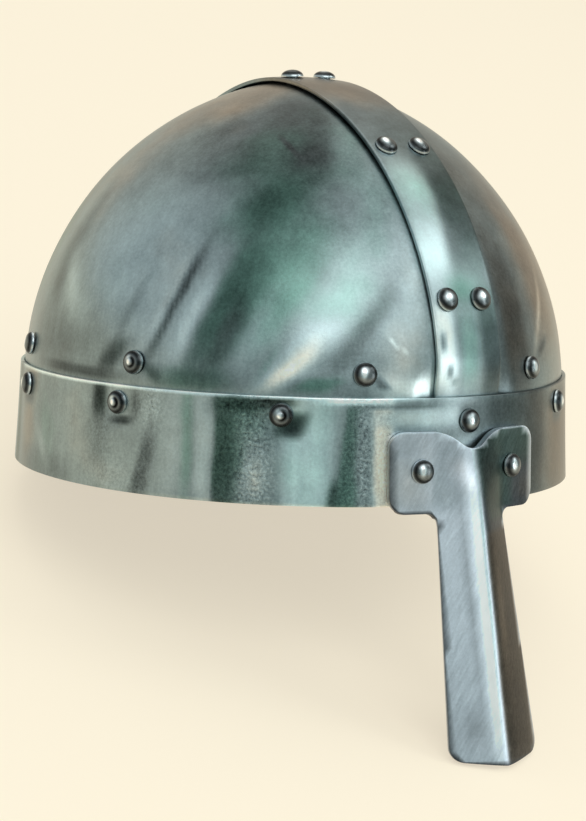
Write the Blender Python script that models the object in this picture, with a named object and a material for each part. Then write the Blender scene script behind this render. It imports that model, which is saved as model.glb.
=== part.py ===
"""A nasal helmet of sheet steel: two skull halves, a crest band, a brow band and a nasal, riveted.

Lengths are in metres and angles in degrees. Every piece is modelled as it is worn, with the rim
level at z = 0, the front towards -Y and the wearer's right at -X. The empty rest_pose then leans
the whole helmet back onto the lower corners of the nasal and the rear of the rim, which is how it
rests by itself on a table.
"""
import math

import bmesh
import bpy
from mathutils import Matrix, Vector

# Rim and brow band
RIM_LENGTH = 0.224          # front to back, outside the brow band's lower edge
RIM_WIDTH = 0.2157          # side to side, likewise
BROW_HEIGHT = 0.0385
BROW_FLARE = 0.0018         # how far the lower edge stands outside the upper one
BROW_SHEET = 0.0015

# Skull halves
CROWN_HEIGHT = 0.150        # rim to the outside of the skull at the crown
SPRING_HEIGHT = 0.0372      # where the skull begins to curve inwards
SKULL_FOOT = 0.006          # lower edge of the skull, inside the brow band
SKULL_SHEET = 0.0015
SEAM = 0.001                # open seam between the halves, under the crest band
RISE_POWER = 1.89           # 2 is an ellipse, less is more pointed
ROUND_POWER = 1.854

# Crest band
CREST_WIDTH = 0.0292
CREST_SHEET = 0.0015
CREST_FOOT = 0.022          # lower ends, inside the brow band
CREST_BEND = 0.45           # how much of the skull's sideways curve the band follows
DISH_RISE = 0.016           # the skull is dished in behind the band's feet, up to this far above its spring
DISH_RUN = 0.010            # beside the band, over this width
DISH_DROP = 0.005           # and below its feet, over this height

# Nasal
NASAL_SHEET = 0.0025
NASAL_SHIFT = -0.0025       # the plate sits a little to the wearer's right
NASAL_DROP = 0.090          # rim to the point of the tip
NASAL_LEAN = 12.4           # ridge off the vertical
NASAL_RIDGE = 0.0082        # ridge above the edges of the bar
BAR_WIDTH = 0.0296          # at the rim
TIP_WIDTH = 0.0400
TIP_POINT = 0.002           # how far the tip's middle is below its corners
TIP_CORNER = 0.005
LUG_SPAN = 0.0650           # over both lugs
LUG_TOP = 0.0268            # above the rim
LUG_FOOT = -0.0023
LUG_CORNER = 0.0045
LUG_FILLET = 0.0035         # in the corner between lug and bar
NOTCH_WIDTH = 0.0230
NOTCH_FLOOR = 0.0050        # width of the notch's bottom
NOTCH_DEPTH = 0.0062
NOTCH_ROUND = 0.0050

# Rivets
HEAD_DIAMETER = 0.0088
HEAD_HEIGHT = 0.0030
SHANK_DIAMETER = 0.0048
TAIL_DIAMETER = 0.0070
TAIL_HEIGHT = 0.0012
RIVET_SIDES = 9
BROW_RIVET_HEIGHT = 0.0320
CENTRE_RIVET_HEIGHT = 0.0298   # the front one sits lower, above the nasal's notch
BROW_RIVET_ANGLES = (-142, -106, -73, -39, -0.5, 32, 69, 106, 143, 180)   # 0 is the front, hand-spaced
LINER_RIVET_HEIGHT = 0.0468
LINER_RIVET_ANGLES = (-155, -109.5, -70, -23, 20, 67, 112, 157)
CREST_RIVET_CLIMBS = (19.5, 52.3, 87, 127.7, 160.5)   # 0 is the brow, 90 the crown, 180 the nape
CREST_RIVET_SPACING = 0.0155
NASAL_RIVET_SPACING = 0.0408
NASAL_RIVET_HEIGHT = 0.0128

CLEARANCE = 0.0003          # between two pieces that lie on each other

# How finely the curves are divided
FINE_STEP = 3               # around the rim, near the front and the back
FINE_REACH = 18
COARSE_STEP = 8
CLIMB_STEP = 9              # from the brow to the crown
CORNER_STEPS = 4


def clear_scene():
    for thing in list(bpy.data.objects):
        bpy.data.objects.remove(thing, do_unlink=True)


def steel(name, colour, roughness):
    """A bare metal of the given base colour."""
    material = bpy.data.materials.new(name)
    material.use_nodes = True
    shader = material.node_tree.nodes["Principled BSDF"]
    shader.inputs["Base Color"].default_value = (*colour, 1.0)
    shader.inputs["Metallic"].default_value = 1.0
    shader.inputs["Roughness"].default_value = roughness
    return material


def smooth_fall(distance, full, run):
    """1 up to full, then down to 0 over run, without a kink."""
    share = min(max((distance - full) / run, 0.0), 1.0)
    return 1.0 - share * share * (3.0 - 2.0 * share)


def half_turn_angles():
    """Angles from the front round one side to the back, closer together at both ends."""
    front = list(range(0, FINE_REACH, FINE_STEP))
    front += list(range(FINE_REACH, 90, COARSE_STEP))
    return front + [90] + [180 - angle for angle in reversed(front)]


def semi_axes(height, outset):
    """Half length and half width of the brow band's outside at a height, grown by outset."""
    inward = BROW_FLARE * height / BROW_HEIGHT
    return RIM_LENGTH / 2 - inward + outset, RIM_WIDTH / 2 - inward + outset


def wall_point(angle, height, outset):
    """Point of the brow band's outside, moved out by outset."""
    length, width = semi_axes(height, outset)
    turn = math.radians(angle)
    return Vector((width * math.sin(turn), -length * math.cos(turn), height))


def wall_depth(x, height, outset):
    """How far in front of the centre the wall lies at a sideways place x."""
    length, width = semi_axes(height, outset)
    return length * math.sqrt(1.0 - (x / width) ** 2)


SKULL_INSET = BROW_SHEET + CLEARANCE       # from the brow band's outside to the skull's


def skull_axes(outset):
    """Half length, half width and rise of the skull above its spring, grown by outset."""
    length, width = semi_axes(SPRING_HEIGHT, outset - SKULL_INSET)
    return length, width, CROWN_HEIGHT - SPRING_HEIGHT + outset


def climb_shares(climb):
    """Shares of the skull's reach and rise at a climb of 0 (brow) to 90 (crown) to 180 (nape)."""
    turn = math.radians(climb)
    reach = math.copysign(abs(math.cos(turn)) ** (2 / ROUND_POWER), math.cos(turn))
    return reach, math.sin(turn) ** (2 / RISE_POWER)


def dish(x, height):
    """How far the skull is dished in behind the feet of the crest band."""
    deep = CREST_SHEET + CLEARANCE
    across = smooth_fall(abs(x), CREST_WIDTH / 2 + 2 * CLEARANCE, DISH_RUN)
    upward = smooth_fall(height, SPRING_HEIGHT, DISH_RISE)
    downward = smooth_fall(dish_floor() - height, 0.0, DISH_DROP)
    return deep * across * upward * downward


def dish_floor():
    """Height down to which the dish has its full depth."""
    return CREST_FOOT - 2 * CLEARANCE


def skull_rows(side):
    """Rows of points up one half of the skull, from its foot to the crown."""
    rows = []
    angles = half_turn_angles()
    for height in (SKULL_FOOT, dish_floor() - DISH_DROP, dish_floor(), SPRING_HEIGHT):
        length, width = semi_axes(height, -SKULL_INSET)
        rows.append([skull_row_point(side, angle, length, width, height) for angle in angles])
    length, width, rise = skull_axes(0.0)
    climbs = [CLIMB_STEP / 2] + list(range(CLIMB_STEP, 90, CLIMB_STEP))
    for climb in climbs:
        reach, lift = climb_shares(climb)
        height = SPRING_HEIGHT + rise * lift
        rows.append([skull_row_point(side, angle, length * reach, width * reach, height) for angle in angles])
    rows.append([Vector((side * SEAM / 2, 0.0, CROWN_HEIGHT))])
    return rows


def skull_row_point(side, angle, length, width, height):
    turn = math.radians(angle)
    x = SEAM / 2 + (width - SEAM / 2) * math.sin(turn)
    y = -length * math.cos(turn)
    return Vector((side * x, y + math.copysign(dish(x, height), math.cos(turn)), height))


def skull_strip(climb, x, outset):
    """Point of the skull's outside at a climb and a sideways place, for the strip under the crest band."""
    length, width, rise = skull_axes(outset)
    reach, lift = climb_shares(climb)
    level = reach * reach + (x / width) ** 2
    round_part = level ** (ROUND_POWER / 2)
    rise_part = lift ** RISE_POWER
    slope = ROUND_POWER * reach * reach * round_part / level + RISE_POWER * rise_part
    kept = 1.0 - (round_part + rise_part - 1.0) / slope
    depth = dish(0.0, SPRING_HEIGHT + rise * lift)
    y = math.copysign(depth, reach) - length * reach
    return Vector((x, y * kept, SPRING_HEIGHT + rise * lift * kept))


def crest_point(climb, x, outset):
    """Point of the crest band's inside over the skull; outset lifts it off."""
    middle = skull_strip(climb, 0.0, CLEARANCE + outset)
    side = skull_strip(climb, x, CLEARANCE + outset)
    bend = CREST_BEND + (1.0 - CREST_BEND) * smooth_fall(middle.z, SPRING_HEIGHT, 2 * DISH_RISE)
    point = middle.lerp(side, bend)
    point.x = x
    return point


def crest_foot_point(end, height, x):
    """Point of the crest band's inside below the skull's spring; end is -1 in front, 1 behind."""
    depth = wall_depth(x, height, CLEARANCE - SKULL_INSET)
    return Vector((x, end * (depth - dish(0.0, height)), height))


def crest_rows():
    """Rows of points across the crest band, from its front foot over the crown to the rear one."""
    across = [share * CREST_WIDTH / 2 for share in (-1.0, -0.5, 0.0, 0.5, 1.0)]
    heights = (CREST_FOOT, (CREST_FOOT + SPRING_HEIGHT) / 2)
    steps = round(180 / (CLIMB_STEP / 2))
    rows = [[crest_foot_point(-1, height, x) for x in across] for height in heights]
    rows += [[crest_point(180 * step / steps, x, 0.0) for x in across] for step in range(steps + 1)]
    rows += [[crest_foot_point(1, height, x) for x in across] for height in reversed(heights)]
    return rows


def brow_rows():
    """Two rings of points round the brow band's outside."""
    half = half_turn_angles()
    angles = half + [-angle for angle in reversed(half[1:-1])]
    return [[wall_point(angle, height, 0.0) for angle in angles] for height in (0.0, BROW_HEIGHT)]


def bar_half_width(height):
    """Half the width of the nasal's bar, which widens below the rim."""
    share = max(-height, 0.0) / NASAL_DROP
    return BAR_WIDTH / 2 + (TIP_WIDTH - BAR_WIDTH) / 2 * share


def nasal_surface(across, height):
    """Point of the nasal's outside, at a distance across from its ridge."""
    lift = CLEARANCE + NASAL_SHEET
    half = bar_half_width(height)
    foot = wall_depth(NASAL_SHIFT - half, height, lift)
    reach_at_rim = wall_depth(NASAL_SHIFT - BAR_WIDTH / 2, 0.0, lift) + NASAL_RIDGE
    reach = reach_at_rim - math.tan(math.radians(NASAL_LEAN)) * height
    forward = reach - NASAL_RIDGE - foot if height < 0.0 else 0.0
    proud = reach - forward - wall_depth(NASAL_SHIFT, height, lift)
    roof = proud * max(0.0, 1.0 - abs(across) / half)
    x = NASAL_SHIFT + across
    return Vector((x, -(wall_depth(x, height, lift) + forward + roof), height))


def rounded(corners):
    """Outline through corners given as (x, z, radius), each one rounded by an arc."""
    points = []
    for before, corner, after in zip([corners[0]] + corners[:-1], corners, corners[1:] + [corners[-1]]):
        here = Vector(corner[:2])
        radius = corner[2]
        if radius == 0.0:
            points.append(here)
            continue
        back = (Vector(before[:2]) - here).normalized()
        ahead = (Vector(after[:2]) - here).normalized()
        half = back.angle(ahead) / 2
        centre = here + (back + ahead).normalized() * radius / math.sin(half)
        start = here + back * radius / math.tan(half) - centre
        sweep = start.angle_signed(here + ahead * radius / math.tan(half) - centre)
        for step in range(CORNER_STEPS + 1):
            turn = Matrix.Rotation(-sweep * step / CORNER_STEPS, 2)
            points.append(centre + turn @ start)
    return points


def nasal_outline():
    """Closed outline of the nasal, flat, as (across, height)."""
    notch = LUG_TOP - NOTCH_DEPTH
    half = [
        (0.0, notch, 0.0),
        (NOTCH_FLOOR / 2, notch, NOTCH_ROUND / 2),
        (NOTCH_WIDTH / 2, LUG_TOP, NOTCH_ROUND),
        (LUG_SPAN / 2, LUG_TOP, LUG_CORNER),
        (LUG_SPAN / 2, LUG_FOOT, LUG_CORNER),
        (BAR_WIDTH / 2, LUG_FOOT, LUG_FILLET),
        (TIP_WIDTH / 2, TIP_POINT - NASAL_DROP, TIP_CORNER),
        (0.0, -NASAL_DROP, 0.0),
    ]
    right = rounded(half)
    return right + [Vector((-point.x, point.y)) for point in reversed(right[1:-1])]


def add_object(name, mesh, material, parent):
    if material is not None:
        mesh.materials.append(material)
    thing = bpy.data.objects.new(name, mesh)
    bpy.context.collection.objects.link(thing)
    thing.parent = parent
    return thing


def finish_mesh(shape, name, smooth):
    """Turns a bmesh into a mesh, its round stretches shaded smooth."""
    mesh = bpy.data.meshes.new(name)
    shape.to_mesh(mesh)
    shape.free()
    if smooth:
        mesh.shade_smooth()
        mesh.set_sharp_from_angle(angle=math.radians(30))
    return mesh


def sheet_mesh(name, rows, closed):
    """A surface through rows of points; a row of one point is a pole, closed rows are rings."""
    shape = bmesh.new()
    grid = [[shape.verts.new(point) for point in row] for row in rows]
    for lower, upper in zip(grid, grid[1:]):
        count = len(lower) if closed else len(lower) - 1
        for index in range(count):
            after = (index + 1) % len(lower)
            if len(upper) == 1:
                corners = (lower[index], lower[after], upper[0])
            else:
                corners = (lower[index], lower[after], upper[after], upper[index])
            shape.faces.new(corners)
    return finish_mesh(shape, name, True)


def nasal_mesh():
    """The nasal's outside: its flat outline, divided, then bent over the brow band and the ridge."""
    shape = bmesh.new()
    shape.faces.new([shape.verts.new((point.x, 0.0, point.y)) for point in nasal_outline()])
    lug = (LUG_SPAN - BAR_WIDTH) / 2
    columns = [0.0, BAR_WIDTH / 4, BAR_WIDTH / 2, BAR_WIDTH / 2 + lug / 3, BAR_WIDTH / 2 + lug * 2 / 3]
    columns += [-column for column in columns[1:]]
    levels = [LUG_TOP / 3, LUG_TOP * 2 / 3, 0.0, LUG_FOOT - LUG_FILLET]
    levels += [-NASAL_DROP * share for share in (0.2, 0.4, 0.6, 0.8)]
    cuts = [((column, 0.0, 0.0), (1.0, 0.0, 0.0)) for column in columns]
    cuts += [((0.0, 0.0, level), (0.0, 0.0, 1.0)) for level in levels]
    for place, normal in cuts:
        parts = shape.verts[:] + shape.edges[:] + shape.faces[:]
        bmesh.ops.bisect_plane(shape, geom=parts, dist=1e-6, plane_co=place, plane_no=normal)
    for corner in shape.verts:
        corner.co = nasal_surface(corner.co.x, corner.co.z)
    bmesh.ops.recalc_face_normals(shape, faces=shape.faces[:])
    if sum(face.normal.y * face.calc_area() for face in shape.faces) > 0.0:
        bmesh.ops.reverse_faces(shape, faces=shape.faces[:])
    return finish_mesh(shape, "nasal", True)


def thicken(thing, thickness, inward):
    """Gives a surface its wall, inwards or outwards from the faces that are modelled."""
    wall = thing.modifiers.new("wall", "SOLIDIFY")
    wall.thickness = thickness
    wall.offset = -1.0 if inward else 1.0
    wall.use_even_offset = True


def drill(thing, cutter):
    hole = thing.modifiers.new("rivet holes", "BOOLEAN")
    hole.operation = "DIFFERENCE"
    hole.solver = "EXACT"
    hole.object = cutter


def seat(surface, first, second, step=1e-4):
    """Frame on a surface of two parameters: its origin on the surface, its Z along the outward normal."""
    here = surface(first, second)
    normal = (surface(first + step, second) - here).cross(surface(first, second + step) - here).normalized()
    if normal.dot(here - Vector((0.0, 0.0, BROW_HEIGHT))) < 0.0:
        normal.negate()
    turn = normal.to_track_quat("Z", "Y").to_matrix().to_4x4()
    return Matrix.Translation(here) @ turn


def skull_place(angle, height):
    """Point of the skull's outside at a height above its spring."""
    length, width, rise = skull_axes(0.0)
    lift = (height - SPRING_HEIGHT) / rise
    reach = (1.0 - lift ** RISE_POWER) ** (1 / ROUND_POWER)
    turn = math.radians(angle)
    return Vector((width * reach * math.sin(turn), -length * reach * math.cos(turn), height))


def rivet_seats():
    """Every rivet as (name, frame on the outermost sheet, depth of the sheets below it)."""
    seats = []
    for number, angle in enumerate(BROW_RIVET_ANGLES, 1):
        height = CENTRE_RIVET_HEIGHT if abs(angle) < FINE_STEP else BROW_RIVET_HEIGHT
        frame = seat(lambda a, h: wall_point(a, h, 0.0), angle, height)
        depth = BROW_SHEET + CLEARANCE + SKULL_SHEET
        if abs(frame.translation.x) < CREST_WIDTH / 2:
            depth += CREST_SHEET + CLEARANCE
        seats.append((f"brow_rivet_{number:02d}", frame, depth))
    for number, angle in enumerate(LINER_RIVET_ANGLES, 1):
        frame = seat(skull_place, angle, LINER_RIVET_HEIGHT)
        seats.append((f"liner_rivet_{number:02d}", frame, SKULL_SHEET))
    number = 0
    for climb in CREST_RIVET_CLIMBS:
        for side in (-1, 1):
            number += 1
            x = side * CREST_RIVET_SPACING / 2
            frame = seat(lambda c, across: crest_point(c, across, CREST_SHEET), climb, x)
            inside = seat(lambda c, across: skull_strip(c, across, -SKULL_SHEET), climb, x)
            depth = (frame.translation - inside.translation).dot(frame.col[2].xyz)
            depth += TAIL_DIAMETER / 2 * math.sin(frame.col[2].xyz.angle(inside.col[2].xyz))
            seats.append((f"crest_rivet_{number:02d}", frame, depth))
    for name, side in (("nasal_rivet_right", -1), ("nasal_rivet_left", 1)):
        across = side * NASAL_RIVET_SPACING / 2
        frame = seat(nasal_surface, across, NASAL_RIVET_HEIGHT)
        depth = NASAL_SHEET + CLEARANCE + BROW_SHEET + CLEARANCE + SKULL_SHEET
        depth += dish(frame.translation.x, NASAL_RIVET_HEIGHT)
        seats.append((name, frame, depth))
    return seats


def turned_mesh(name, profile):
    """A closed turned solid from a profile of (radius, height), top to bottom, with radius 0 at its ends."""
    shape = bmesh.new()
    rings = []
    for radius, height in profile:
        if radius == 0.0:
            rings.append([shape.verts.new((0.0, 0.0, height))])
            continue
        turns = [2 * math.pi * step / RIVET_SIDES for step in range(RIVET_SIDES)]
        rings.append([shape.verts.new((radius * math.cos(t), radius * math.sin(t), height)) for t in turns])
    for upper, lower in zip(rings, rings[1:]):
        for index in range(RIVET_SIDES):
            after = (index + 1) % RIVET_SIDES
            if len(upper) == 1:
                shape.faces.new((upper[0], lower[index], lower[after]))
            elif len(lower) == 1:
                shape.faces.new((upper[index], lower[0], upper[after]))
            else:
                shape.faces.new((upper[index], lower[index], lower[after], upper[after]))
    return finish_mesh(shape, name, True)


def rivet_mesh(name, depth):
    """A round-headed rivet, its head above z = 0 and its tail below the sheets.

    The sheets are divided into flat faces, which lie a little inside the curve, so the tail does too.
    """
    head = HEAD_DIAMETER / 2
    shank = SHANK_DIAMETER / 2
    tail = TAIL_DIAMETER / 2
    under_head = CLEARANCE
    facet_depth = RIM_LENGTH / 2 * (1.0 - math.cos(math.radians(max(COARSE_STEP, CLIMB_STEP) / 2)))
    over_tail = -depth - facet_depth - CLEARANCE
    profile = [
        (0.0, under_head + HEAD_HEIGHT),
        (head * 0.62, under_head + HEAD_HEIGHT * 0.80),
        (head * 0.94, under_head + HEAD_HEIGHT * 0.36),
        (head, under_head),
        (shank, under_head),
        (shank, over_tail),
        (tail, over_tail),
        (tail, over_tail - TAIL_HEIGHT),
        (0.0, over_tail - TAIL_HEIGHT),
    ]
    return turned_mesh(name, profile)


def hole_cutter(seats, parent):
    """One guide with a pin for every rivet hole."""
    shape = bmesh.new()
    radius = SHANK_DIAMETER / 2 + CLEARANCE
    for _, frame, depth in seats:
        over = HEAD_HEIGHT
        length = depth + over + 2 * TAIL_HEIGHT
        middle = Matrix.Translation((0.0, 0.0, over - length / 2))
        pin = bmesh.ops.create_cone(shape, cap_ends=True, segments=RIVET_SIDES, radius1=radius,
                                    radius2=radius, depth=length)
        bmesh.ops.transform(shape, matrix=frame @ middle, verts=pin["verts"])
    cutter = add_object("rivet_holes", finish_mesh(shape, "rivet_holes", False), None, parent)
    cutter.hide_render = True
    cutter.display_type = "WIRE"
    return cutter


def evaluated_points(things):
    """Corners of the finished meshes, in the upright frame."""
    graph = bpy.context.evaluated_depsgraph_get()
    points = []
    for thing in things:
        solid = thing.evaluated_get(graph)
        mesh = solid.to_mesh()
        points += [corner.co.copy() for corner in mesh.vertices]
        solid.to_mesh_clear()
    return points


def lowest(points, lean):
    """Height of the lowest point once the helmet has leaned back."""
    return min(point.z * math.cos(lean) - point.y * math.sin(lean) for point in points)


def lean_back(rest_pose, nasal, brow_band):
    """Turns the helmet until nasal and rear rim are level, and puts its box's bottom centre at the origin."""
    nose = evaluated_points([nasal])
    rim = evaluated_points([brow_band])
    low = 0.0
    high = math.radians(45)
    for _ in range(40):
        lean = (low + high) / 2
        if lowest(nose, lean) < lowest(rim, lean):
            low = lean
        else:
            high = lean
    turn = Matrix.Rotation(-high, 4, "X")
    solids = [thing for thing in bpy.data.objects if thing.type == "MESH" and not thing.hide_render]
    spread = [turn @ (thing.matrix_local @ corner) for thing in solids for corner in evaluated_points([thing])]
    middle = [(min(p[axis] for p in spread) + max(p[axis] for p in spread)) / 2 for axis in (0, 1)]
    rest_pose.rotation_euler = (-high, 0.0, 0.0)
    rest_pose.location = (-middle[0], -middle[1], -min(point.z for point in spread))


def build():
    clear_scene()
    sheet = steel("sheet steel", (0.33, 0.36, 0.35), 0.32)
    bright = steel("nasal steel", (0.42, 0.44, 0.45), 0.35)
    polished = steel("rivet steel", (0.46, 0.47, 0.46), 0.22)
    rest_pose = bpy.data.objects.new("rest_pose", None)
    bpy.context.collection.objects.link(rest_pose)

    seats = rivet_seats()
    holes = hole_cutter(seats, rest_pose)
    shell_right = add_object("shell_right", sheet_mesh("shell_right", skull_rows(-1), False), sheet, rest_pose)
    shell_left = add_object("shell_left", sheet_mesh("shell_left", skull_rows(1), False), sheet, rest_pose)
    shell_right.data.flip_normals()
    crest_band = add_object("crest_band", sheet_mesh("crest_band", crest_rows(), False), sheet, rest_pose)
    brow_band = add_object("brow_band", sheet_mesh("brow_band", brow_rows(), True), sheet, rest_pose)
    nasal = add_object("nasal", nasal_mesh(), bright, rest_pose)

    thicken(shell_right, SKULL_SHEET, inward=True)
    thicken(shell_left, SKULL_SHEET, inward=True)
    thicken(crest_band, CREST_SHEET, inward=False)
    thicken(brow_band, BROW_SHEET, inward=True)
    thicken(nasal, NASAL_SHEET, inward=True)
    for thing in (shell_right, shell_left, crest_band, brow_band, nasal):
        drill(thing, holes)

    for name, frame, depth in seats:
        rivet = add_object(name, rivet_mesh(name, depth), polished, rest_pose)
        rivet.matrix_local = frame

    bpy.context.view_layer.update()
    lean_back(rest_pose, nasal, brow_band)


build()
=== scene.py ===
import math

import bpy
from mathutils import Matrix, Vector, noise


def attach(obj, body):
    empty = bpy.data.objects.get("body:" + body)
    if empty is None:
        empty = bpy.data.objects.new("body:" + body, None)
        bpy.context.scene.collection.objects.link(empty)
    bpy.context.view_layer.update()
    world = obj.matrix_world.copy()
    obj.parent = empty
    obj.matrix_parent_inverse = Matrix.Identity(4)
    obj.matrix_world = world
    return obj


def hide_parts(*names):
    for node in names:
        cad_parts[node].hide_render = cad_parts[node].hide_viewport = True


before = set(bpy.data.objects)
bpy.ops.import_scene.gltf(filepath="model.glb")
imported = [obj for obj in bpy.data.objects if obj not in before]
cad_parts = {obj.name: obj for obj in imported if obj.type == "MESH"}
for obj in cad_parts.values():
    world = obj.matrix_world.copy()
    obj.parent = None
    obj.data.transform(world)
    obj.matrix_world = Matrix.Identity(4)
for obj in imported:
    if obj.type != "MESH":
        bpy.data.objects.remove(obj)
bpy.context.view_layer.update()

print("the packed helmet is loaded")

# The helmet is shaped as it is worn, rim level at z = 0 and front towards -Y, then leaned back to its rest
helmet = dict(
    lean=19.9748, standAt=(0.0, 0.019126, 0.03826), gap=0.0003,
    rimLength=0.224, rimWidth=0.2157, browHeight=0.0385, browFlare=0.0018, browSheet=0.0015,
    crownHeight=0.150, springHeight=0.0372, skullSheet=0.0015, risePower=1.89, roundPower=1.854)
leanBack = Matrix.Translation(helmet["standAt"]) @ Matrix.Rotation(-math.radians(helmet["lean"]), 4, "X")
standUp = leanBack.inverted()
inside = Vector((0.0, 0.0, 0.03))   # a point that the sheets face away from


def fall(distance, full, run):
    share = min(max((distance - full) / run, 0.0), 1.0)
    return 1.0 - share * share * (3.0 - 2.0 * share)


def halfAxes(height, outset):
    inward = helmet["browFlare"] * height / helmet["browHeight"]
    return helmet["rimLength"] / 2 - inward + outset, helmet["rimWidth"] / 2 - inward + outset


def wallPoint(angle, height, outset):
    length, width = halfAxes(height, outset)
    turn = math.radians(angle)
    return Vector((width * math.sin(turn), -length * math.cos(turn), height))


def wallDepth(x, height, outset):
    length, width = halfAxes(height, outset)
    return length * math.sqrt(1.0 - (x / width) ** 2)


def skullAxes(outset):
    length, width = halfAxes(helmet["springHeight"], outset - helmet["browSheet"] - helmet["gap"])
    return length, width, helmet["crownHeight"] - helmet["springHeight"] + outset


def climbShares(climb):
    turn = math.radians(climb)
    reach = math.copysign(abs(math.cos(turn)) ** (2 / helmet["roundPower"]), math.cos(turn))
    return reach, max(math.sin(turn), 0.0) ** (2 / helmet["risePower"])


def angleOf(point):
    return math.degrees(math.atan2(point.x / helmet["rimWidth"], -point.y / helmet["rimLength"]))


# Meshes: making, turning, thickening and painting
shop = dict(mergeWithin=0.00003, edgeSegments=3, smoothAngle=50, patchReach=2.6)
wander = dict(   # how unevenly the painted stains, highlights, reflections and shade end
    alongScale=55.0, upScale=60.0, fineScale=160.0, upShare=0.8, fineShare=0.4)


def deselectAll():
    bpy.ops.object.select_all(action="DESELECT")


def makeOnly(piece):
    deselectAll()
    piece.select_set(True)
    bpy.context.view_layer.objects.active = piece


def gridSheet(name, columns, rows, place):
    deselectAll()
    bpy.ops.mesh.primitive_grid_add(x_subdivisions=columns, y_subdivisions=rows, size=1.0)
    sheet = bpy.context.object
    sheet.name = sheet.data.name = name
    for corner in sheet.data.vertices:
        corner.co = place(corner.co.x + 0.5, corner.co.y + 0.5)
    bpy.ops.object.mode_set(mode="EDIT")
    bpy.ops.mesh.select_all(action="SELECT")
    bpy.ops.mesh.remove_doubles(threshold=shop["mergeWithin"])
    bpy.ops.object.mode_set(mode="OBJECT")
    return sheet


def faceOutward(sheet, centre):
    outward = sum((face.center - centre).dot(face.normal) * face.area for face in sheet.data.polygons)
    if outward < 0.0:
        makeOnly(sheet)
        bpy.ops.object.mode_set(mode="EDIT")
        bpy.ops.mesh.select_all(action="SELECT")
        bpy.ops.mesh.flip_normals()
        bpy.ops.object.mode_set(mode="OBJECT")


def giveWall(sheet, thickness, side, edge, edgeAngle=60):
    makeOnly(sheet)
    wall = sheet.modifiers.new("wall", "SOLIDIFY")
    wall.thickness = thickness
    wall.offset = side
    wall.use_even_offset = True
    bpy.ops.object.modifier_apply(modifier=wall.name)
    if edge > 0.0:
        soft = sheet.modifiers.new("edge", "BEVEL")
        soft.width = edge
        soft.segments = shop["edgeSegments"]
        soft.limit_method = "ANGLE"
        soft.angle_limit = math.radians(edgeAngle)
        bpy.ops.object.modifier_apply(modifier=soft.name)
    bpy.ops.object.shade_smooth_by_angle(angle=math.radians(shop["smoothAngle"]))


def patchWeight(patch, first, second):
    # size is how far it reaches each way, with its own left and right reach where that is a pair
    if abs(second - patch["at"][1]) > shop["patchReach"] * patch["size"][1]:
        return 0.0
    aside = first - patch["at"][0] - patch.get("slope", 0.0) * (second - patch["at"][1])
    reach = patch["size"][0]
    if isinstance(reach, tuple):
        reach = reach[0] if aside < 0.0 else reach[1]
    upward = (second - patch["at"][1]) / patch["size"][1]
    edge = patch.get("edge", 1.0)   # how sharply it ends
    return math.exp(-((aside / reach) ** 2) ** edge - (upward * upward) ** max(edge, 1.0))


def paintSteel(piece, base, patches, place):
    # tone is 0 dark to 1 pale and holds stains together with painted highlights, painted reflections and
    # painted shade, tint is -1 green to 1 brown and holds stain colour together with painted reflection
    # colour, grain is how pitted it is
    tones, tints, grains = [], [], []
    for corner in piece.data.vertices:
        point = standUp @ corner.co
        first, second = place(point)
        along = noise.noise(point * wander["alongScale"])
        upward = noise.noise(point * wander["upScale"] + Vector((3.0, 9.0, 4.0)))
        fine = wander["fineShare"] * noise.noise(point * wander["fineScale"] + Vector((7.0, 3.0, 1.0)))
        first += base["drift"] * (along + fine)
        second += base["drift"] * wander["upShare"] * (upward + fine)
        tone, tint, grain = base["tone"], base["tint"], base["grain"]
        for patch in patches:
            weight = patchWeight(patch, first, second)
            tone += (patch["tone"] - tone) * weight
            tint += (patch.get("tint", tint) - tint) * weight
            grain += (patch.get("grain", grain) - grain) * weight
        tone = base["middle"] + (tone - base["tone"]) * base["contrast"]
        tones.append(tone)
        tints.append(tint)
        grains.append(grain)
    giveLayers(piece, tones, tints, grains)


def giveLayers(piece, tones, tints, grains):
    for name, values in (("tone", tones), ("tint", tints), ("grain", grains)):
        layer = piece.data.attributes.new(name, "FLOAT", "POINT")
        layer.data.foreach_set("value", values)


def finishPiece(piece, nodes, material):
    piece.data.materials.clear()
    piece.data.materials.append(material)
    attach(piece, "root")
    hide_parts(*nodes)


# Steel: one recipe, three finishes
steel = dict(
    darkest=0.02, tonePower=2.2, gain=1.15, cloudRough=0.10, pitRough=0.25, brushRough=0.12, bumpHeight=0.001)


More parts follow.
